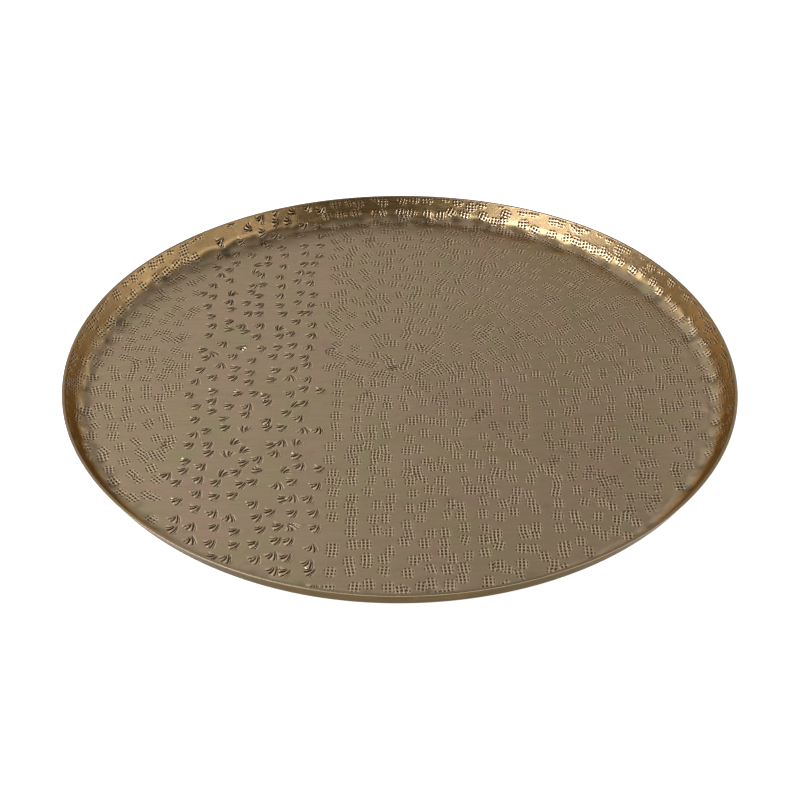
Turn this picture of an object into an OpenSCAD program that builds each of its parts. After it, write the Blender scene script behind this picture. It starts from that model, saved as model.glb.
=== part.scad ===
// Round brass tray with a low, flared wall, raised from one disc of sheet.
// +Z is up. The origin is the centre of the flat underside, on the surface that the tray rests on.

/* [Tray] */
// Diameter over the lip
tray_d = 500; // [300:10:600]
// Height from the underside to the top of the lip
tray_h = 20; // [18:1:40]
// Thickness of the sheet
sheet_t = 2; // [1:0.1:2.5]

/* [Shape] */
// Width of the wall and its bend together, seen from above
wall_run = 20; // [18:1:24]
// Inside radius of the bend between the floor and the wall
bend_r = 14; // [10:1:14]
// Radius of the softened edges of the lip
lip_edge_r = 0.4; // [0.2:0.1:0.4]

/* [Hidden] */
$fn = 240;

// Steps along the bend's arcs, and along the lip's small arcs
bend_steps = 16;
lip_steps = 6;

// Radius of the flat floor, where the bend starts
floor_r = tray_d / 2 - wall_run;
// The bend's radius on the underside, and the centre that both of its sides share
bend_out_r = bend_r + sheet_t;
bend_centre = [floor_r, bend_out_r];
// Centre of the rounding at the lip's outer edge
lip_out_centre = [tray_d / 2 - lip_edge_r, tray_h - lip_edge_r];
// Slope of the wall above the horizontal: its outer face is tangent to the bend and to the lip's edge
span = lip_out_centre - bend_centre;
wall_slope = atan2(span.y, span.x) + asin((bend_out_r - lip_edge_r) / norm(span));
// The lip's top is dressed level, so it is wider than the sheet is thick
lip_in_centre = lip_out_centre - [(sheet_t - 2 * lip_edge_r) / sin(wall_slope), 0];
// Directions square to the wall: outwards, and inwards
wall_out = wall_slope - 90;
wall_in = wall_slope + 90;

function arc(centre, r, from, to, steps) = [
    for (i = [0:steps])
        let (a = from + (to - from) * i / steps)
        centre + r * [cos(a), sin(a)]
];

// Section of the sheet on the +X side: out along the underside, over the lip and back along the floor
section = concat(
    [[0, 0]],
    arc(bend_centre, bend_out_r, -90, wall_out, bend_steps),
    arc(lip_out_centre, lip_edge_r, wall_out, 90, lip_steps),
    arc(lip_in_centre, lip_edge_r, 90, wall_in, lip_steps),
    arc(bend_centre, bend_r, wall_out, -90, bend_steps),
    [[0, sheet_t]]
);

module tray() {
    color([0.49, 0.42, 0.32])
        rotate_extrude()
            polygon(section);
}

tray();
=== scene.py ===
"""A round brass tray: one sheet, punched flat by hand, then raised into a low flared wall.

Lengths in the mesh code are millimetres. A point of the sheet is named by its place on the flat blank,
which is its distance from the middle measured along the sheet, and its direction.
"""
import math

import bpy
import numpy as np
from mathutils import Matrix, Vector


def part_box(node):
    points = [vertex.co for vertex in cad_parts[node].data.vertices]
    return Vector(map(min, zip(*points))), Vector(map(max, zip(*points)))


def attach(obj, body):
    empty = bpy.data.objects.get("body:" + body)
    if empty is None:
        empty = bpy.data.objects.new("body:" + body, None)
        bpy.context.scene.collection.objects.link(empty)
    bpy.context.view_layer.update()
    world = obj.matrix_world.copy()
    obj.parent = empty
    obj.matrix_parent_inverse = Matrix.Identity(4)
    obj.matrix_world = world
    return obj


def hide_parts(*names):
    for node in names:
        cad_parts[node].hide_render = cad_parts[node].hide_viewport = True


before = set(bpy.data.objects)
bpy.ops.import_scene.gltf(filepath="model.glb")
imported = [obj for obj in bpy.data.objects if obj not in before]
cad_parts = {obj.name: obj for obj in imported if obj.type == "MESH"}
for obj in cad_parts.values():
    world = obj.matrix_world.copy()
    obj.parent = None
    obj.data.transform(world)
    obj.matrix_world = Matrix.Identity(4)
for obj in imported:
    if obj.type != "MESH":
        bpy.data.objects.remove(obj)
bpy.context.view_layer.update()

MM = 0.001
SEED = 11
rng = np.random.default_rng(SEED)

# The sheet, as the CAD model has it.
low_corner, high_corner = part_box("tray")
LIP_R = (high_corner.y - low_corner.y) / 2 / MM
HEIGHT = (high_corner.z - low_corner.z) / MM
SHEET = 2.0
WALL_RUN = 20.0
BEND_R = 14.0
LIP_EDGE_R = 0.4
FLOOR_R = LIP_R - WALL_RUN

# The mesh: rings on the top face, and how many times fewer on the underside.
RINGS = 560
UNDER_SHARE = 4
# Steps along the section over the lip and down the outside, to where the underside's grid starts.
LIP_INNER_STEPS = 3
LIP_TOP_STEPS = 3
LIP_OUTER_STEPS = 5
WALL_STEPS = 13
BEND_STEPS = 17
# How closely two lengths along the section are told apart.
HAIR = 1e-9


# ---- the sheet's section, as a path from the middle of the floor over the lip and back underneath ----

def section_moves():
    """The path's moves, each a name, a length and the angle it turns through, left turns positive."""
    outer_r = BEND_R + SHEET
    run = WALL_RUN - LIP_EDGE_R
    rise = HEIGHT - LIP_EDGE_R - outer_r
    reach = math.hypot(run, rise)
    slope = math.atan2(rise, run) + math.asin((outer_r - LIP_EDGE_R) / reach)
    outside = math.sqrt(reach ** 2 - (outer_r - LIP_EDGE_R) ** 2)
    lip = (SHEET - 2 * LIP_EDGE_R) / math.sin(slope)
    over = math.pi - slope
    return [
        ("floor", FLOOR_R, 0.0),
        ("bend inside", BEND_R * slope, slope),
        ("wall inside", outside - lip * math.cos(slope), 0.0),
        ("lip inner edge", LIP_EDGE_R * slope, -slope),
        ("lip top", lip, 0.0),
        ("lip outer edge", LIP_EDGE_R * over, -over),
        ("wall outside", outside, 0.0),
        ("bend outside", outer_r * slope, -slope),
        ("underside", FLOOR_R, 0.0),
    ]


MOVES = section_moves()
# The distance along the path at which each move ends.
ENDS = dict(zip([move[0] for move in MOVES], np.cumsum([move[1] for move in MOVES])))
TOP_REACH = ENDS["wall inside"]


def section(along):
    """Radius, height and the outward normal (as two arrays) at distances along the path."""
    along = np.asarray(along, float)
    radius, height, heading = (np.zeros_like(along) for _ in range(3))
    start, at, way = 0.0, np.array([0.0, SHEET]), 0.0
    for _, length, turn in MOVES:
        here = (along >= start - HAIR) | (start == 0.0)
        step = along[here] - start
        if turn:
            bend = turn / length
            radius[here] = at[0] + (np.sin(way + bend * step) - math.sin(way)) / bend
            height[here] = at[1] - (np.cos(way + bend * step) - math.cos(way)) / bend
            heading[here] = way + bend * step
            across = math.sin(way + turn) - math.sin(way)
            up = math.cos(way) - math.cos(way + turn)
            at = at + np.array([across, up]) / bend
        else:
            radius[here] = at[0] + math.cos(way) * step
            height[here] = at[1] + math.sin(way) * step
            heading[here] = way
            at = at + length * np.array([math.cos(way), math.sin(way)])
        way += turn
        start += length
    return radius, height, -np.sin(heading), np.cos(heading)


# ---- the sheet in plan: a square grid whose square rings are pulled out into circles ----

def disc_grid(rings):
    """For each point of the grid, the ring it is on and its direction, row by row from -X, -Y."""
    side = np.arange(-rings, rings + 1)
    i, j = np.meshgrid(side, side, indexing="ij")
    ring = np.maximum(abs(i), abs(j))
    wide = abs(i) >= abs(j)
    with np.errstate(divide="ignore", invalid="ignore"):
        across = np.where(wide, j / i, i / j)
    across[rings, rings] = 0.0
    turn = np.where(
        wide,
        np.where(i >= 0, 0.0, np.pi) + np.pi / 4 * across,
        np.where(j >= 0, np.pi / 2, -np.pi / 2) - np.pi / 4 * across,
    )
    return ring.ravel(), turn.ravel()


def disc_faces(rings, first, up):
    """The grid's squares, facing up or down."""
    width = 2 * rings + 1
    i, j = np.meshgrid(np.arange(width - 1), np.arange(width - 1), indexing="ij")
    corner = (first + i * width + j).ravel()
    faces = np.stack([corner, corner + width, corner + width + 1, corner + 1], 1)
    return faces if up else faces[:, ::-1]


def disc_border(rings, first):
    """The grid's outermost points, anticlockwise from the corner at minus 45 degrees."""
    width = 2 * rings + 1
    step = np.arange(2 * rings)
    right = (width - 1) * width + step
    back = (width - 1 - step) * width + width - 1
    left = width - 1 - step
    front = step * width
    return first + np.concatenate([right, back, left, front])


# ---- the two punches: each mark is pressed into the vertices near it ----

class Blank:
    """The flat blank's points, filed in square cells so that a mark finds the ones near it."""

    CELL = 6.0

    def __init__(self, x, y):
        self.x, self.y = x, y
        self.low = min(x.min(), y.min()) - self.CELL
        self.width = int((max(x.max(), y.max()) - self.low) / self.CELL) + 2
        cell = self.cell(x) * self.width + self.cell(y)
        self.order = np.argsort(cell, kind="stable")
        self.starts = np.searchsorted(cell[self.order], np.arange(self.width ** 2 + 1))

    def cell(self, value):
        return ((value - self.low) / self.CELL).astype(int)

    def near(self, x, y, reach):
        """The points in the cells that a square of this half-width touches, and where they are from x, y."""
        sides = np.array([x - reach, x + reach, y - reach, y + reach])
        left, right, front, back = np.clip(self.cell(sides), 0, self.width - 1)
        rows = [
            self.order[self.starts[row * self.width + front]:self.starts[row * self.width + back + 1]]
            for row in range(left, right + 1)
        ]
        found = np.concatenate(rows)
        return found, self.x[found] - x, self.y[found] - y


def smooth(edge0, edge1, value):
    """0 below edge0, 1 above edge1 and a smooth step between them."""
    t = np.clip((value - edge0) / (edge1 - edge0), 0.0, 1.0)
    return t * t * (3 - 2 * t)


# The waffle punch: a round-cornered face cut with a grid of square teeth, some more worn than others.
WAFFLE_REACH = 8.0
WAFFLE_HALF = (4.15, 4.85)
WAFFLE_PITCH = (2.55, 3.0)
WAFFLE_DEPTH = 0.55
WAFFLE_SINK = 0.06
WAFFLE_WEAR = 0.4
# Teeth each way in the table of wear, which is larger than the face.
WAFFLE_TEETH = 6
# Where the face ends, in half widths, and the pressure at which a leaning blow marks and marks fully.
WAFFLE_EDGE = (0.84, 1.04)
WAFFLE_PRESS = (0.1, 0.8)
# From a ridge at 0 to the middle of a tooth at 1: where the tooth starts and is full, and where the ridge
# starts to fade and has ended.
TOOTH_SIDE = (0.1, 0.62)
RIDGE_SIDE = (0.03, 0.36)
# How bright the ridges along u are, where those along v are 1: the difference between them is a painted
# highlight, as if lit from one side.
CROSS_RIDGE = 0.7


def waffle(u, v, lean_u, lean_v):
    """How deep the waffle punch cuts, how much of a pit each point is, and how bright it is from wear and a
    painted highlight.
    """
    at_u, at_v = u / WAFFLE_HALF[0], v / WAFFLE_HALF[1]
    face = 1 - smooth(*WAFFLE_EDGE, (abs(at_u) ** 3 + abs(at_v) ** 3) ** (1 / 3))
    press = smooth(*WAFFLE_PRESS, np.clip(1 + lean_u * at_u + lean_v * at_v, 0.0, 1.0)) * face
    steps = [w / pitch for w, pitch in zip((u, v), WAFFLE_PITCH)]
    waves = [0.5 - 0.5 * np.cos(2 * np.pi * step) for step in steps]
    across = [smooth(*TOOTH_SIDE, wave) for wave in waves]
    cross_ridge = CROSS_RIDGE - CROSS_RIDGE * smooth(*RIDGE_SIDE, waves[1])
    ridge = np.maximum(1 - smooth(*RIDGE_SIDE, waves[0]), cross_ridge)
    which = [np.clip(np.floor(step) + WAFFLE_TEETH // 2, 0, WAFFLE_TEETH - 1).astype(int) for step in steps]
    sharp = 1 - WAFFLE_WEAR * rng.random((WAFFLE_TEETH, WAFFLE_TEETH))[which[0], which[1]]
    tooth = across[0] * across[1] * sharp
    return press * (WAFFLE_DEPTH * tooth + WAFFLE_SINK), press * tooth, press * ridge


# The petal punch: grooves that fan out from beyond a hub and curl a little, with raised ribs between them.
# A groove runs on each side of the middle rib, and along each edge of the fan runs half of one more, which
# starts with a step.
PETAL_REACH = 10.0
# The directions of the fan's edge and of the groove from the fan's middle, and their curl in radians per mm.
PETAL_EDGE = math.radians(27)
PETAL_GROOVE = PETAL_EDGE / 2
PETAL_CURL = 0.07
# How much narrower than round the fan is, where its hub is, and where the grooves start and end from there.
PETAL_SLIM = 1.85
PETAL_HUB_AT = 9.2
PETAL_HUB, PETAL_TIP = 5.6, 13.2
# The softness of the grooves' two ends, before and after them.
PETAL_START = (0.6, 0.3)
PETAL_END = (1.0, 0.4)
# A groove's half width, the part of it near the hub, and the part of the way to the tip where it is whole.
PETAL_HALF_WIDTH = 1.15
PETAL_NARROW = 0.5
PETAL_WIDE_AT = 0.6
# Where a groove is full and where it has ended, in half widths, and its depth.
PETAL_SIDE = (0.35, 1.4)
PETAL_DEPTH = 0.75
# The shallow arc that joins the grooves' starts: its depth as a part of theirs, and its softness.
PETAL_ARC = 0.4
PETAL_ARC_SOFT = 0.45
# The ribs: their height, and how far past the fan's edge they fade, in radians.
PETAL_BURR = 0.5
PETAL_FADE = (0.14, 0.36)
# The pressure at which a leaning blow marks and marks fully, and how much of a pit a groove counts as.
PETAL_PRESS = (0.05, 0.8)
PETAL_SHADE = 0.88
# Points farther round from a groove than this, in radians, count as this far: past it the sine falls again.
PETAL_FAR = 1.5


def petal(u, v, lean_u, lean_v):
    """How deep the petal punch cuts, how much of a pit each point is, and how bright it is from wear and a
    painted highlight.
    """
    down, aside = PETAL_HUB_AT - v, PETAL_SLIM * u
    away = np.hypot(aside, down)
    turn = abs(np.arctan2(aside, down) + PETAL_CURL * (away - PETAL_HUB))
    from_groove = turn - np.where(turn < PETAL_EDGE, PETAL_GROOVE, PETAL_EDGE)
    beside = away * np.abs(np.sin(np.clip(from_groove, -PETAL_FAR, PETAL_FAR)))
    widening = (1 - PETAL_NARROW) * smooth(PETAL_HUB, PETAL_WIDE_AT * PETAL_TIP, away)
    width = PETAL_HALF_WIDTH * (PETAL_NARROW + widening)
    started = smooth(PETAL_HUB - PETAL_START[0], PETAL_HUB + PETAL_START[1], away)
    length = started * (1 - smooth(PETAL_TIP - PETAL_END[0], PETAL_TIP + PETAL_END[1], away))
    groove = (1 - smooth(PETAL_SIDE[0] * width, PETAL_SIDE[1] * width, beside)) * length
    inside = 1 - smooth(PETAL_EDGE + PETAL_FADE[0], PETAL_EDGE + PETAL_FADE[1], turn)
    arc = PETAL_ARC * np.exp(-((away - PETAL_HUB) / PETAL_ARC_SOFT) ** 2) * inside
    pressure = 1 + lean_u * aside / PETAL_TIP - lean_v * v / PETAL_TIP
    press = smooth(*PETAL_PRESS, np.clip(pressure, 0.0, 1.0))
    cut = np.maximum(groove, arc)
    burr = length * inside * (1 - cut)
    return press * (PETAL_DEPTH * cut - PETAL_BURR * burr), PETAL_SHADE * press * cut, press * burr


# ---- where the marks are on the blank, and how they are struck ----

# How far apart marks are: waffles each way, and petals across and along their columns.
MARK_STEP = 12.6
PETAL_STEP = (13.6, 15.0)
# How far marks stray, how far columns drift, how far marks stray from a ring, and the places' farthest reach.
MARK_JITTER = 2.3
COLUMN_DRIFT = 1.2
RING_JITTER = 0.8 * MARK_JITTER
MARK_REACH = TOP_REACH + 3.0
# The first ring of marks, so placed that the last one is just short of the lip.
RINGS_OF_MARKS = 15
LAST_RING_SHORT = 2.0
FIRST_RING = TOP_REACH - LAST_RING_SHORT - RINGS_OF_MARKS * MARK_STEP
# The wall is plain at the front, where the sine of the direction is below this: marks end just past the floor
# there.
PLAIN_WALL_FROM = -0.42
PLAIN_WALL_REACH = FLOOR_R + 4.0
# The strip of petals: its left side, its right side and how that leans, and the gap beside each.
STRIP_LEFT = -164.0
STRIP_RIGHT = -56.0
STRIP_SKEW = -0.04
STRIP_GAP = 3.0
# Some waffle marks are struck twice, more of them in the crowded middle, with the second beside the first.
STRUCK_TWICE = 0.10
CROWDED_R = 55
CROWDED_MORE = 0.25
TWICE_APART = 7.5
# How far a mark is turned at random, in radians: waffles in rings, waffles in columns, and petals.
RING_TURN = 0.2
COLUMN_TURN = 0.09
PETAL_TURN = 0.36
# The share of petals that are the other way up.
PETAL_UPSIDE_DOWN = 0.1
# The force of a blow, and how much it leans.
BLOW_FORCE = (0.7, 1.0)
BLOW_LEAN = 0.5
# The marks fade out over the last of the wall: from and to these distances below the lip.
MARKS_FADE = (1.6, 0.4)


def in_reach(x, y):
    """Whether a mark may be here: up to the lip, but at the front only on the floor."""
    away = np.hypot(x, y)
    return away < np.where(y > PLAIN_WALL_FROM * away, MARK_REACH, PLAIN_WALL_REACH)


def in_strip(x, y):
    """Whether a place is in the strip of petals, which runs from the front to the back."""
    return (x > STRIP_LEFT) & (x < STRIP_RIGHT + STRIP_SKEW * y)


def in_rings(x, y):
    """Whether the waffle marks here are in rings: at the back round the middle, and left of the strip."""
    return ((y > 0) & (np.hypot(x, y) > FIRST_RING)) | (x < STRIP_LEFT)


def rows_of_spots(step_x, step_y):
    """Places in loose columns over the whole blank: each column drifts, and each place is a little off."""
    spots = []
    for column in np.arange(-MARK_REACH, MARK_REACH, step_x):
        drift, lag = rng.normal(0, COLUMN_DRIFT), rng.uniform(0, step_y)
        for row in np.arange(-MARK_REACH, MARK_REACH, step_y):
            x = column + drift + rng.normal(0, MARK_JITTER)
            y = row + lag + rng.normal(0, MARK_JITTER)
            spots.append((x, y))
    return np.array(spots)


def rings_of_spots(first, step):
    """Places in rings round the middle."""
    spots = []
    for ring in np.arange(first, MARK_REACH, step):
        count = round(2 * math.pi * ring / step)
        lag = rng.uniform(0, 2 * math.pi)
        for n in range(count):
            turn = lag + 2 * math.pi * n / count + rng.normal(0, MARK_JITTER) / ring
            away = ring + rng.normal(0, RING_JITTER)
            spots.append((away * math.cos(turn), away * math.sin(turn)))
    return np.array(spots)


def waffle_spots():
    """Columns at the front, rings at the back and left of the strip, and a crowded middle."""
    columns = rows_of_spots(MARK_STEP, MARK_STEP)
    rings = rings_of_spots(FIRST_RING, MARK_STEP)
    spots = np.concatenate([columns[~in_rings(*columns.T)], rings[in_rings(*rings.T)]])
    crowded = np.hypot(*spots.T) < CROWDED_R
    twice = rng.random(len(spots)) < STRUCK_TWICE + CROWDED_MORE * crowded
    way = rng.uniform(0, 2 * math.pi, twice.sum())
    beside = spots[twice] + TWICE_APART * np.stack([np.cos(way), np.sin(way)], 1)
    spots = np.concatenate([spots, beside])
    x, y = spots.T
    faces_middle = (y > 0) | (x < STRIP_LEFT)
    turn = np.where(faces_middle, np.arctan2(y, x), 0.0)
    turn = turn + rng.normal(0, np.where(faces_middle, RING_TURN, COLUMN_TURN), len(spots))
    keep = ~in_strip(x, y)
    return spots[keep], turn[keep]


def petal_spots():
    """Loose columns in the strip, most fans opening towards the front and a few towards the back."""
    spots = rows_of_spots(*PETAL_STEP)
    x, y = spots.T
    keep = in_strip(x + STRIP_GAP, y) & in_strip(x - STRIP_GAP, y)
    turn = rng.normal(0, PETAL_TURN, len(spots)) + math.pi * (rng.random(len(spots)) < PETAL_UPSIDE_DOWN)
    return spots[keep], turn[keep]


def strike(blank, punch, reach, spots, turns, height, pit, wear_and_highlight):
    """Presses a punch into the sheet at each place; where strikes overlap the deeper one shows."""
    inside = in_reach(spots[:, 0], spots[:, 1])
    for (x, y), turn in zip(spots[inside], turns[inside]):
        force = rng.uniform(*BLOW_FORCE)
        lean = rng.normal(0, BLOW_LEAN, 2)
        points, dx, dy = blank.near(x, y, reach)
        u = math.cos(turn) * dx + math.sin(turn) * dy
        v = -math.sin(turn) * dx + math.cos(turn) * dy
        depth, sunk, bright = punch(u, v, *lean)
        before, pressed = height[points], -force * depth
        raised = (pressed > 0) & (before >= 0)
        height[points] = np.where(raised, np.maximum(before, pressed), np.minimum(before, pressed))
        pit[points] = np.maximum(pit[points] * (1 - bright), force * sunk)
        wear_and_highlight[points] = np.maximum(wear_and_highlight[points], force * bright)


# ---- the sheet's own unevenness ----

# A dent is felt this many of its widths away.
DENT_REACH = 2.8
# The floor's dents: how far apart, how far in from the bend, how wide, and from how low to how high.
FLOOR_DENT_STEP = 26.0
FLOOR_DENT_INSET = 14
FLOOR_DENT_WIDTH = (9, 15)
FLOOR_DENT_RISE = (-0.1, 0.22)
# Dents in the bend: how far apart, how wide, how deep, and how far they stray from their circle.
BEND_DENTS = (
    (17.0, 3.6, 0.95, 2.5),
    (11.0, 4.5, 0.25, 6.0),
)
# How far through the bend their circle is, and the parts of those widths, depths and gaps that they have.
DENTS_AT = 0.3
DENT_WIDTHS = (0.75, 1.25)
DENT_DEPTHS = (0.4, 1.0)
DENT_GAPS = (0.7, 1.3)
# How often a dent is followed by its opposite.
DENT_SWAPS = 0.8
# The underside: how far its hollows are above the table, how far apart, how wide and how full its bumps are,
# and from and to how far inside the bend its hollows fade.
UNDER_HOLLOW = 0.25
UNDER_STEP = 22.0
UNDER_BUMP = 7.0
UNDER_FULL = (0.6, 1.1)
UNDER_FADE = (14.0, 2.0)
# The lip isn't a true circle. Each wave: direction and spread in degrees, outwards and upwards in mm.
LIP_WAVES = (
    (8, 13, -1.0, 0.2),
    (43, 15, 1.0, 0.7),
    (92, 20, -0.6, -1.0),
    (156, 14, 0.7, 0.3),
    (255, 14, 0.8, 0.3),
    (305, 16, 0.8, 0.6),
)
# The radius at which the lip's waves outwards begin to show.
LIP_WAVES_FROM = FLOOR_R - 25.0


def dent(blank, x, y, width, depth, height):
    """A soft round dent from the planishing hammer."""
    points, dx, dy = blank.near(x, y, DENT_REACH * width)
    height[points] += depth * np.exp(-(dx ** 2 + dy ** 2) / (2 * width ** 2))


def planish(blank):
    """The top's unevenness: faint dents on the floor, bolder ones where the wall was raised."""
    height = np.zeros(len(blank.x))
    for x, y in rows_of_spots(FLOOR_DENT_STEP, FLOOR_DENT_STEP):
        if math.hypot(x, y) < FLOOR_R - FLOOR_DENT_INSET:
            dent(blank, x, y, rng.uniform(*FLOOR_DENT_WIDTH), rng.uniform(*FLOOR_DENT_RISE), height)
    circle = FLOOR_R + DENTS_AT * (ENDS["bend inside"] - FLOOR_R)
    for spacing, width, depth, wander in BEND_DENTS:
        turn, side = 0.0, 1.0
        while turn < 2 * math.pi:
            away = circle + rng.normal(0, wander)
            x, y = away * math.cos(turn), away * math.sin(turn)
            wide = width * rng.uniform(*DENT_WIDTHS)
            deep = side * depth * rng.uniform(*DENT_DEPTHS)
            dent(blank, x, y, wide, deep, height)
            turn += spacing * rng.uniform(*DENT_GAPS) / circle
            side = -side if rng.random() < DENT_SWAPS else side
    return height


def under_dents(along, turn):
    """How far the underside is above the table: low bumps touch it, and so does the ring before the bend."""
    radius = ENDS["underside"] - along
    under = Blank(radius * np.cos(turn), radius * np.sin(turn))
    bumps = np.zeros(len(radius))
    for x, y in rows_of_spots(UNDER_STEP, UNDER_STEP):
        dent(under, x, y, UNDER_BUMP, rng.uniform(*UNDER_FULL), bumps)
    share = 1 - smooth(FLOOR_R - UNDER_FADE[0], FLOOR_R - UNDER_FADE[1], radius)
    return UNDER_HOLLOW * share * (1 - np.clip(bumps, 0.0, 1.0))


def lip_wave(turn):
    """How far the lip is from its true circle, outwards and upwards."""
    out, up = np.zeros_like(turn), np.zeros_like(turn)
    for middle, spread, outwards, upwards in LIP_WAVES:
        off = (np.degrees(turn) - middle + 180) % 360 - 180
        bump = np.exp(-0.5 * (off / spread) ** 2)
        out += outwards * bump
        up += upwards * bump
    return out, up


# ---- the tray's mesh ----

# How golden the lip is, where the wall's inside is 1, and how much it counts as outside, with the outside's
# painted shade, where the outside is 1.
LIP_GOLD = 0.3
LIP_OUTSIDE_SHARE = 0.35
# Depths between which a dent is darkened with painted shade, and radii between which the wall's colours come
# in, its gold partly a painted reflection.
HOLLOW_DEPTHS = (0.15, 0.75)
WALL_COLOURS = (FLOOR_R + 1, FLOOR_R + 13)


def place(along, turn, lift):
    """Points in mm at a distance along the section path and a direction, lifted along the sheet's normal."""
    radius, height, out, up = section(along)
    wave_out, wave_up = lip_wave(turn)
    radius = radius + out * lift + wave_out * smooth(LIP_WAVES_FROM, LIP_R, radius)
    height = height + up * lift + wave_up * smooth(FLOOR_R, LIP_R, radius)
    return np.stack([radius * np.cos(turn), radius * np.sin(turn), height], 1)


def strip_between(inner, outer):
    """Faces between two loops of as many points, or of half as many on the outer one."""
    inner_next, outer_next = np.roll(inner, -1), np.roll(outer, -1)
    if len(inner) == len(outer):
        return [np.stack([inner, outer, outer_next, inner_next], 1)]
    even, odd, following = inner[0::2], inner[1::2], np.roll(inner, -2)[0::2]
    return [np.stack([even, outer, odd], 1), np.stack([odd, outer, outer_next, following], 1)]


def steps_along(move, before, steps):
    """Distances along one move of the section, from its first step to its end."""
    return np.linspace(ENDS[before], ENDS[move], steps + 1)[1:]


def top_face():
    """The floor and the wall's inside: points, faces, sway, how much of a pit each is, and how bright it is
    from wear and a painted highlight.
    """
    ring, turn = disc_grid(RINGS)
    along = ring * (TOP_REACH / RINGS)
    blank = Blank(along * np.cos(turn), along * np.sin(turn))
    marks, pit, wear_and_highlight = (np.zeros(len(along)) for _ in range(3))
    strike(blank, waffle, WAFFLE_REACH, *waffle_spots(), marks, pit, wear_and_highlight)
    strike(blank, petal, PETAL_REACH, *petal_spots(), marks, pit, wear_and_highlight)
    sway = planish(blank)
    clear = 1 - smooth(TOP_REACH - MARKS_FADE[0], TOP_REACH - MARKS_FADE[1], along)
    points = place(along, turn, marks * clear + sway)
    return points, disc_faces(RINGS, 0, True), sway, pit * clear, wear_and_highlight * clear


def rings_along(distances, loop, first, sway):
    """Rings of points at distances along the section, each joined to the loop before it."""
    points, faces = [], []
    count = len(sway)
    turn = -np.pi / 4 + 2 * np.pi * np.arange(count) / count
    for distance in distances:
        # From the lip's top on, the outside follows the inside's dents, less and less towards the underside.
        share = 1 - smooth(ENDS["lip outer edge"], ENDS["bend outside"], distance)
        if distance < ENDS["lip top"]:
            share = 0.0
        points.append(place(np.full(count, distance), turn, -sway * share))
        following = first + np.arange(count)
        faces += strip_between(loop, following)
        loop = following
        first += count
    return points, faces, loop


def underside(first):
    """The underside, on its own coarser grid: points and faces, and its border."""
    rings = RINGS // UNDER_SHARE
    ring, turn = disc_grid(rings)
    along = ENDS["underside"] - ring * (FLOOR_R / rings)
    points = place(along, turn, -under_dents(along, turn))
    return points, disc_faces(rings, first, False), disc_border(rings, first)


def tray_geometry():
    """All points and faces of the closed sheet, and the values that its material needs at each point."""
    top, top_faces, sway, pit, wear_and_highlight = top_face()
    border = disc_border(RINGS, 0)
    over_lip = np.concatenate([
        steps_along("lip inner edge", "wall inside", LIP_INNER_STEPS),
        steps_along("lip top", "lip inner edge", LIP_TOP_STEPS),
        steps_along("lip outer edge", "lip top", LIP_OUTER_STEPS),
    ])
    down_outside = np.concatenate([
        steps_along("wall outside", "lip outer edge", WALL_STEPS),
        steps_along("bend outside", "wall outside", BEND_STEPS)[:-1],
    ])
    lip, lip_faces, loop = rings_along(over_lip, border, len(top), sway[border])
    lip_end = len(top) + sum(len(ring) for ring in lip)
    # After the lip, half as many points in a ring are enough.
    outside, outside_faces, loop = rings_along(down_outside, loop, lip_end, sway[border][::2])
    outside_end = lip_end + sum(len(ring) for ring in outside)
    under, under_faces, under_border = underside(outside_end)
    points = np.concatenate([top, *lip, *outside, under])
    faces = [top_faces, *lip_faces, *outside_faces, under_faces, *strip_between(loop, under_border)]
    rest = len(points) - len(top)
    gold, outside_share = np.ones(len(points)), np.zeros(len(points))
    gold[len(top):lip_end] = LIP_GOLD
    outside_share[len(top):lip_end] = LIP_OUTSIDE_SHARE
    outside_share[lip_end:] = 1.0
    values = {
        "pit": np.pad(pit, (0, rest)),
        "dent_shade": np.pad(smooth(*HOLLOW_DEPTHS, -sway), (0, rest)),
        "wear_and_highlight": np.pad(wear_and_highlight, (0, rest)),
        "wall": smooth(*WALL_COLOURS, np.hypot(points[:, 0], points[:, 1])) * gold,
        "outside": outside_share,
    }
    return points, faces, values


def mesh_from(name, points, faces, values):
    """A smooth-shaded mesh in metres, with a named value for each point."""
    mesh = bpy.data.meshes.new(name)
    mesh.vertices.add(len(points))
    mesh.vertices.foreach_set("co", (points * MM).ravel())
    corners = np.concatenate([f.ravel() for f in faces])
    sizes = np.concatenate([np.full(len(f), f.shape[1]) for f in faces])
    mesh.loops.add(len(corners))
    mesh.loops.foreach_set("vertex_index", corners)
    mesh.polygons.add(len(sizes))
    mesh.polygons.foreach_set("loop_start", np.cumsum(sizes) - sizes)
    mesh.update(calc_edges=True)
    mesh.shade_smooth()
    for key, value in values.items():
        mesh.attributes.new(key, "FLOAT", "POINT").data.foreach_set("value", value)
    mesh.validate()
    return mesh


# ---- materials ----

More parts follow.
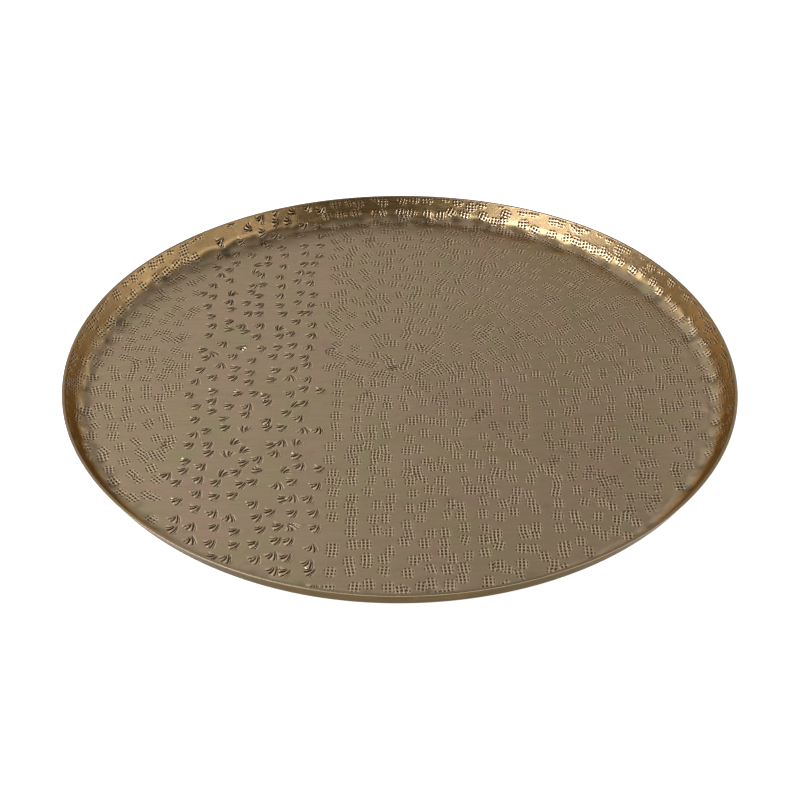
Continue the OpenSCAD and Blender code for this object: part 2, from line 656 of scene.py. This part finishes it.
class Nodes:
    """Short calls for building the nodes of a material or of the world."""

    def __init__(self, owner):
        owner.use_nodes = True
        self.owner = owner
        self.tree = owner.node_tree
        self.shader = self.tree.nodes.get("Principled BSDF") or self.tree.nodes["Background"]

    def add(self, kind, **settings):
        node = self.tree.nodes.new(kind)
        for key, value in settings.items():
            setattr(node, key, value)
        return node

    def link(self, output, socket):
        self.tree.links.new(output, socket)

    def put(self, socket, value):
        """Sets a socket to a number or colour, or links it to an output."""
        if isinstance(value, bpy.types.NodeSocket):
            self.link(value, socket)
        else:
            socket.default_value = value

    def noise(self, where, scale, detail=3.0, rough=0.5):
        node = self.add("ShaderNodeTexNoise")
        self.link(where, node.inputs["Vector"])
        node.inputs["Scale"].default_value = scale
        node.inputs["Detail"].default_value = detail
        node.inputs["Roughness"].default_value = rough
        return node.outputs["Fac"]

    def span(self, value, low, high, to_low=0.0, to_high=1.0):
        """A smooth step from to_low to to_high, while a value goes from low to high."""
        node = self.add("ShaderNodeMapRange", interpolation_type="SMOOTHSTEP")
        self.put(node.inputs["Value"], value)
        self.put(node.inputs["From Min"], low)
        self.put(node.inputs["From Max"], high)
        self.put(node.inputs["To Min"], to_low)
        self.put(node.inputs["To Max"], to_high)
        return node.outputs["Result"]

    def math(self, operation, a, b):
        node = self.add("ShaderNodeMath", operation=operation)
        self.put(node.inputs[0], a)
        self.put(node.inputs[1], b)
        return node.outputs[0]

    def mix(self, share, a, b):
        node = self.add("ShaderNodeMix", data_type="RGBA")
        self.put(node.inputs["Factor"], share)
        self.put(node.inputs["A"], a)
        self.put(node.inputs["B"], b)
        return node.outputs["Result"]

    def stretch(self, where, scale):
        node = self.add("ShaderNodeMapping")
        self.link(where, node.inputs["Vector"])
        node.inputs["Scale"].default_value = scale
        return node.outputs["Vector"]

    def value(self, name):
        return self.add("ShaderNodeAttribute", attribute_name=name).outputs["Fac"]


# The patina's colours; some of them are painted shade, a painted reflection or a painted highlight, as said
# where they are used.
KHAKI = (0.50, 0.365, 0.225, 1)
OLIVE = (0.45, 0.38, 0.20, 1)
ROSE = (0.54, 0.36, 0.245, 1)
GOLD = (0.58, 0.385, 0.18, 1)
# Painted shade for the outside, as if it reflected the shaded table under its overhang.
OUTSIDE_SHADE = (0.045, 0.042, 0.028, 1)
# Painted shade for the deepest dents.
DENT_SHADE = (0.20, 0.155, 0.08, 1)
UMBER = (0.10, 0.052, 0.022, 1)
# Partly wear on the ridges and ribs, partly a painted highlight.
BRIGHT = (0.97, 0.75, 0.48, 1)
SOOT = (0.30, 0.22, 0.13, 1)
# What it reflects at a grazing angle: on the floor, on the wall and outside.
EDGE = (0.68, 0.50, 0.32, 1)
WALL_EDGE = (0.42, 0.31, 0.18, 1)
DULL_EDGE = (0.49, 0.45, 0.41, 1)
# Patches per metre, and for streaks and brushing along and across them.
CLOUDS_PER_M = 19.0
WALL_CLOUDS_PER_M = 30.0
STAINS_PER_M = 75.0
SPECKS_PER_M = 90.0
GRAIN_PER_M = 700.0
STREAKS_PER_M = (25.0, 280.0, 280.0)
BRUSHING_PER_M = (60.0, 900.0, 900.0)
# The most that each of these covers of what is under it.
SPECKS_SHARE = 0.8
OUTSIDE_SHADE_SHARE = 0.85
STAINS_SHARE = 0.4
STREAKS_SHARE = 0.16
DENT_SHADE_SHARE = 0.8
BRIGHT_SHARE = 0.95
# How uneven the wall's gold is.
WALL_PATCHY = 0.3
# Roughness of the brushed metal, and how it changes in the pits, on rubbed ridges and on the wall.
BRUSHED_ROUGH = (0.33, 0.43)
PIT_ROUGHER = 0.2
RUBBED_SMOOTHER = 0.08
WALL_SMOOTHER = 0.06
# The lacquer's weight on the floor and on the wall, and its roughness.
LACQUER = (0.6, 0.04)
LACQUER_ROUGH = 0.22
# The grain's strength, how high it is in metres, and how much of it is brushing.
GRAIN_STRENGTH = 0.25
GRAIN_HEIGHT = 0.0002
GRAIN_BRUSHED = 0.5


def patina(n, where):
    """The colour: cloudy floor, a golden wall that is partly a painted warm reflection, an outside darkened
    with painted shade, stains, ridges bright from wear and a painted highlight, dents darkened with painted
    shade, and dark pits.
    """
    clouds = n.span(n.noise(where, CLOUDS_PER_M, 4.0, 0.6), 0.36, 0.64)
    colour = n.mix(clouds, OLIVE, ROSE)
    specks = n.span(n.noise(where, SPECKS_PER_M), 0.35, 0.65, 0.0, SPECKS_SHARE)
    colour = n.mix(specks, colour, KHAKI)
    # The wall turns golden: partly a thinner patina, partly a painted warm reflection of the brass across the
    # tray.
    patchy = n.span(n.noise(where, WALL_CLOUDS_PER_M), 0.3, 0.7, -WALL_PATCHY, WALL_PATCHY)
    golden = n.span(n.math("ADD", n.value("wall"), patchy), 0.15, 0.85)
    colour = n.mix(golden, colour, GOLD)
    # The outside is darkened with painted shade.
    colour = n.mix(n.math("MULTIPLY", n.value("outside"), OUTSIDE_SHADE_SHARE), colour, OUTSIDE_SHADE)
    stains = n.span(n.noise(where, STAINS_PER_M, 5.0, 0.65), 0.52, 0.78, 0.0, STAINS_SHARE)
    colour = n.mix(stains, colour, SOOT)
    streaks = n.noise(n.stretch(where, STREAKS_PER_M), 1.0)
    colour = n.mix(n.span(streaks, 0.35, 0.7, 0.0, STREAKS_SHARE), colour, SOOT)
    # Painted shade: dents darken towards their deepest.
    colour = n.mix(n.math("MULTIPLY", n.value("dent_shade"), DENT_SHADE_SHARE), colour, DENT_SHADE)
    # Ridges and ribs lighten: partly wear, partly a painted highlight.
    colour = n.mix(n.math("MULTIPLY", n.value("wear_and_highlight"), BRIGHT_SHARE), colour, BRIGHT)
    return n.mix(n.span(n.value("pit"), 0.06, 0.45), colour, UMBER)


def roughness(n, brushed):
    """Finely brushed, rougher in the pits, smoother on rubbed ridges and on the wall."""
    rough = n.span(brushed, 0.3, 0.7, *BRUSHED_ROUGH)
    rough = n.math("ADD", rough, n.span(n.value("pit"), 0.3, 0.9, 0.0, PIT_ROUGHER))
    rough = n.math("SUBTRACT", rough, n.math("MULTIPLY", n.value("wear_and_highlight"), RUBBED_SMOOTHER))
    return n.math("SUBTRACT", rough, n.math("MULTIPLY", n.value("wall"), WALL_SMOOTHER))


def antique_brass():
    """Brass under a cloudy patina, finely brushed, with a thin lacquer inside the tray and none outside."""
    n = Nodes(bpy.data.materials.new("antique_brass"))
    where = n.add("ShaderNodeTexCoord").outputs["Object"]
    n.put(n.shader.inputs["Base Color"], patina(n, where))
    n.shader.inputs["Metallic"].default_value = 1.0
    edge = n.mix(n.value("wall"), EDGE, WALL_EDGE)
    n.put(n.shader.inputs["Specular Tint"], n.mix(n.value("outside"), edge, DULL_EDGE))
    lacquer = n.span(n.value("wall"), 0.5, 1.0, *LACQUER)
    lacquer = n.math("MULTIPLY", lacquer, n.span(n.value("outside"), 0.0, 1.0, 1.0, 0.0))
    n.put(n.shader.inputs["Coat Weight"], lacquer)
    n.shader.inputs["Coat Roughness"].default_value = LACQUER_ROUGH
    brushed = n.noise(n.stretch(where, BRUSHING_PER_M), 1.0, 2.0)
    n.put(n.shader.inputs["Roughness"], roughness(n, brushed))
    bump = n.add("ShaderNodeBump")
    bump.inputs["Strength"].default_value = GRAIN_STRENGTH
    bump.inputs["Distance"].default_value = GRAIN_HEIGHT
    grain = n.math("ADD", n.math("MULTIPLY", brushed, GRAIN_BRUSHED), n.noise(where, GRAIN_PER_M, 2.0))
    n.link(grain, bump.inputs["Height"])
    n.link(bump.outputs["Normal"], n.shader.inputs["Normal"])
    return n.owner


# The table's glow: distances in metres from the tray's middle, and its strength at each. The weaker glow
# under the tray is a painted shadow.
TABLE_LIGHT = (0.224, 0.239, 0.35, 1.0)
TABLE_WHITE = (0.9, 0.9, 0.9, 1)
TABLE_ROUGH = 0.9


def studio_white():
    """The pale studio floor: it glows like a light table, but much less under the tray, where the dimmer glow
    is a painted shadow.
    """
    n = Nodes(bpy.data.materials.new("studio_white"))
    n.shader.inputs["Base Color"].default_value = TABLE_WHITE
    n.shader.inputs["Roughness"].default_value = TABLE_ROUGH
    n.shader.inputs["Specular IOR Level"].default_value = 0.0
    n.shader.inputs["Emission Color"].default_value = (1, 1, 1, 1)
    where = n.add("ShaderNodeTexCoord").outputs["Object"]
    away = n.add("ShaderNodeVectorMath", operation="LENGTH")
    n.link(where, away.inputs[0])
    n.put(n.shader.inputs["Emission Strength"], n.span(away.outputs["Value"], *TABLE_LIGHT))
    return n.owner


# ---- the tray ----

def make_tray():
    mesh = mesh_from("punched_tray", *tray_geometry())
    mesh.materials.append(antique_brass())
    tray = bpy.data.objects.new("punched_tray", mesh)
    bpy.context.scene.collection.objects.link(tray)
    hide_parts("tray")
    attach(tray, "root")


# ---- the studio ----

FLOOR_HALF = 60.0


def make_floor():
    mesh = bpy.data.meshes.new("studio_floor")
    h = FLOOR_HALF
    mesh.from_pydata([(-h, -h, 0), (h, -h, 0), (h, h, 0), (-h, h, 0)], [], [(0, 1, 2, 3)])
    mesh.materials.append(studio_white())
    floor = bpy.data.objects.new("studio_floor", mesh)
    bpy.context.scene.collection.objects.link(floor)


# The soft lights, all facing the tray: a cooler window high at the front left, and weaker boxes on the other
# sides. Each one's name, place and size in metres, power in watts, and colour.
DAYLIGHT = (1.0, 1.07, 1.22)
WHITE = (1, 1, 1)
SOFTBOXES = (
    ("window", (-1.38, -0.60, 1.40), (1.7, 1.2), 30, DAYLIGHT),
    ("back_left", (-1.42, 0.82, 1.15), (0.5, 0.5), 1.0, WHITE),
    ("front_right", (1.60, -1.00, 0.75), (0.9, 0.5), 1.5, WHITE),
    ("back_right", (0.95, 1.80, 1.15), (0.35, 0.55), 0.9, WHITE),
    ("right", (1.6, 0.25, 0.75), (0.9, 0.9), 3.0, WHITE),
    ("fill", (1.45, -0.50, 1.50), (1.0, 0.8), 3.0, WHITE),
)


def make_lights():
    for name, place_m, size_m, watts, colour in SOFTBOXES:
        light = bpy.data.lights.new(name, "AREA")
        light.shape = "RECTANGLE"
        light.size, light.size_y = size_m
        light.energy = watts
        light.color = colour
        box = bpy.data.objects.new(name, light)
        bpy.context.scene.collection.objects.link(box)
        box.location = place_m
        box.rotation_euler = (-box.location).to_track_quat("-Z", "Y").to_euler()


# The room: dark and warm in front of the tray, grey behind it, dimmer to the right and low down, and dark in
# the low corner at the back left. The edge of the dimmer right part leans to the left higher up. The table's
# white goes on a little above the horizon. Places are parts of a unit direction.
ROOM_FRONT = (0.072, 0.055, 0.033, 1)
ROOM_BACK = (0.68, 0.685, 0.69, 1)
ROOM_BEHIND = (-0.2, 0.68)
ROOM_RIGHT = (0.30, 0.295, 0.295, 1)
ROOM_SIDES = (-0.02, 0.14)
ROOM_LEAN = (0.59, 0.67, 0.0, 0.105)
ROOM_LOW = (0.42, 0.41, 0.40, 1)
ROOM_LOW_TOP = (0.2, 0.5)
ROOM_CORNER = (0.12, 0.10, 0.07, 1)
ROOM_CORNER_SIDE = (-0.62, -0.48, 1.0, 0.0)
ROOM_CORNER_TOP = (0.15, 0.45, 1.0, 0.0)
ROOM_HORIZON = (1.0, 1.0, 1.0, 1)
ROOM_FOOT = (0.03, 0.06)


def make_room():
    world = bpy.data.worlds.new("studio")
    n = Nodes(world)
    split = n.add("ShaderNodeSeparateXYZ")
    n.link(n.add("ShaderNodeTexCoord").outputs["Generated"], split.inputs[0])
    x, y, z = split.outputs["X"], split.outputs["Y"], split.outputs["Z"]
    side = n.math("ADD", x, n.span(z, *ROOM_LEAN))
    back = n.mix(n.span(side, *ROOM_SIDES), ROOM_BACK, ROOM_RIGHT)
    back = n.mix(n.span(z, *ROOM_LOW_TOP), ROOM_LOW, back)
    corner = n.math("MULTIPLY", n.span(x, *ROOM_CORNER_SIDE), n.span(z, *ROOM_CORNER_TOP))
    back = n.mix(corner, back, ROOM_CORNER)
    room = n.mix(n.span(y, *ROOM_BEHIND), ROOM_FRONT, back)
    room = n.mix(n.span(z, *ROOM_FOOT), ROOM_HORIZON, room)
    n.link(room, n.shader.inputs["Color"])
    bpy.context.scene.world = world


# The camera stands in front of the tray: distance in tray radii, height as an angle, and a slight nod.
CAMERA_DISTANCE = 4.5
CAMERA_ELEVATION = 36.5
CAMERA_NOD = 0.76
CAMERA_LENS = 66.7
CAMERA_SENSOR = 36.0


def make_camera():
    data = bpy.data.cameras.new("camera")
    data.lens = CAMERA_LENS
    data.sensor_width = CAMERA_SENSOR
    camera = bpy.data.objects.new("camera", data)
    bpy.context.scene.collection.objects.link(camera)
    raised = math.radians(CAMERA_ELEVATION)
    away = CAMERA_DISTANCE * LIP_R * MM
    camera.location = (0, -away * math.cos(raised), away * math.sin(raised))
    camera.rotation_euler = (math.radians(90 - CAMERA_ELEVATION - CAMERA_NOD), 0, 0)
    bpy.context.scene.camera = camera


make_tray()
make_floor()
make_lights()
make_room()
make_camera()
bpy.context.scene.view_settings.view_transform = "Standard"
